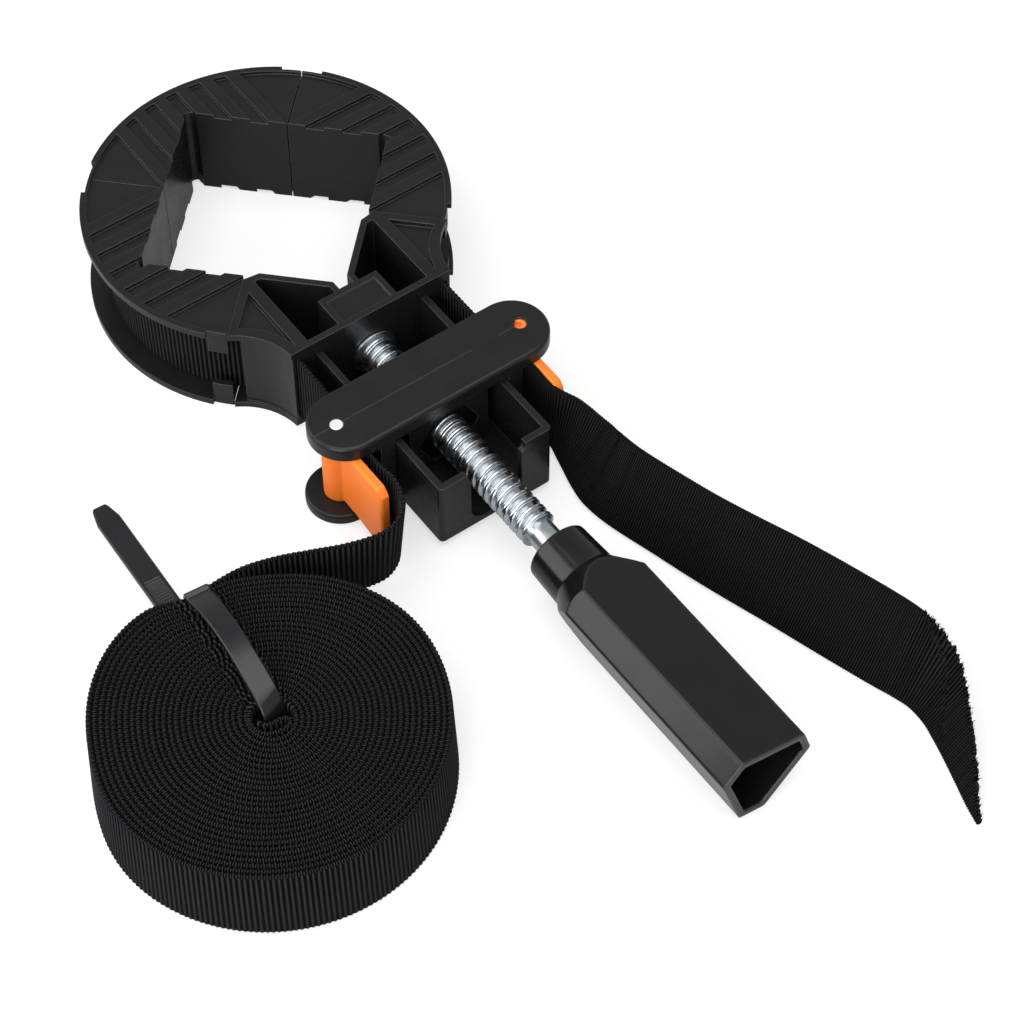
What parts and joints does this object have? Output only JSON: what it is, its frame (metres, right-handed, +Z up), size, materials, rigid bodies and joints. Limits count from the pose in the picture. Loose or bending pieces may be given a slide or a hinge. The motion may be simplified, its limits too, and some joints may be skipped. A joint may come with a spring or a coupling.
{
  "type": "strap clamp",
  "caption": "Corner strap clamp: webbing round corner jaws and a head, tightened by a screw with a moulded handle, locked by cam levers, spare webbing coiled and tied.",
  "frame": {"origin": "centre of the square jaw opening, on the face the clamp rests on", "axes": "+Z up, out of the resting face; +Y from the handle towards the far jaw; +X to the right of someone behind the handle"},
  "size_m": [0.2046, 0.3151, 0.0314],
  "materials": {
    "jaw_plastic": "satin moulded glass-filled nylon, black",
    "lever_plastic": "satin moulded, orange",
    "handle_plastic": "glossy moulded, black",
    "webbing": "woven polyester webbing, black",
    "tie_nylon": "satin moulded nylon, black",
    "zinc_steel": "bright zinc plate",
    "pin_steel": "cut and polished end"
  },
  "bodies": {
    "head": {"head_corner": "jaw_plastic", "guide_frame": "jaw_plastic", "thrust_washer": "zinc_steel", "band_head_left": "webbing", "band_head_right": "webbing"},
    "left_jaw": {"jaw_left": "jaw_plastic", "band_jaw_left": "webbing"},
    "right_jaw": {"jaw_right": "jaw_plastic"},
    "far_jaw": {"jaw_far": "jaw_plastic", "band_jaw_far": "webbing"},
    "strap_right": {"band_jaw_right": "webbing"},
    "spindle": {"screw": "zinc_steel", "handle": "handle_plastic"},
    "slider": {"carriage": "jaw_plastic", "threaded_nut": "zinc_steel", "cam_pin_left": "pin_steel", "band_run_left": "webbing", "band_run_right": "webbing", "band_grip_left": "webbing", "band_grip_right": "webbing", "webbing_lead": "webbing", "webbing_coil": "webbing", "webbing_tail": "webbing", "cable_tie": "tie_nylon"},
    "left_cam": {"cam_lever_left": "lever_plastic"},
    "right_cam": {"cam_lever_right": "lever_plastic"}
  },
  "joints": [
    {"name": "screw_turn", "type": "hinge", "parent": "head", "child": "spindle", "pos_m": [0, -0.12, 0.0147], "axis": [0, 1, 0], "range_deg": [-1985, 2285]},
    {"name": "carriage_slide", "type": "slide", "parent": "head", "child": "slider", "axis": [0, -1, 0], "range_m": [-0.0165, 0.019], "deforming": ["band_run_left", "band_run_right"]},
    {"name": "left_cam_turn", "type": "hinge", "parent": "slider", "child": "left_cam", "pos_m": [-0.0302, -0.0806, 0.0155], "axis": [0, 0, -1], "range_deg": [0, 100]},
    {"name": "right_cam_turn", "type": "hinge", "parent": "slider", "child": "right_cam", "pos_m": [0.0302, -0.0806, 0.0155], "axis": [0, 0, 1], "range_deg": [0, 100]},
    {"name": "left_jaw_slide", "type": "slide", "parent": "head", "child": "left_jaw", "axis": [-0.7071, 0.7071, 0], "range_m": [0, 0.04]},
    {"name": "right_jaw_slide", "type": "slide", "parent": "head", "child": "right_jaw", "axis": [0.7071, 0.7071, 0], "range_m": [0, 0.04]},
    {"name": "far_jaw_slide", "type": "slide", "parent": "left_jaw", "child": "far_jaw", "axis": [0.7071, 0.7071, 0], "range_m": [0, 0.04]},
    {"name": "strap_right_slide", "type": "slide", "parent": "far_jaw", "child": "strap_right", "axis": [0.7071, -0.7071, 0], "range_m": [0, 0.04]}
  ],
  "couplings": [
    {"joint": "screw_turn", "follows": "carriage_slide", "rad_per_m": 2094.4},
    {"joint": "far_jaw_slide", "follows": "right_jaw_slide", "ratio": 1},
    {"joint": "strap_right_slide", "follows": "left_jaw_slide", "ratio": 1}
  ]
}
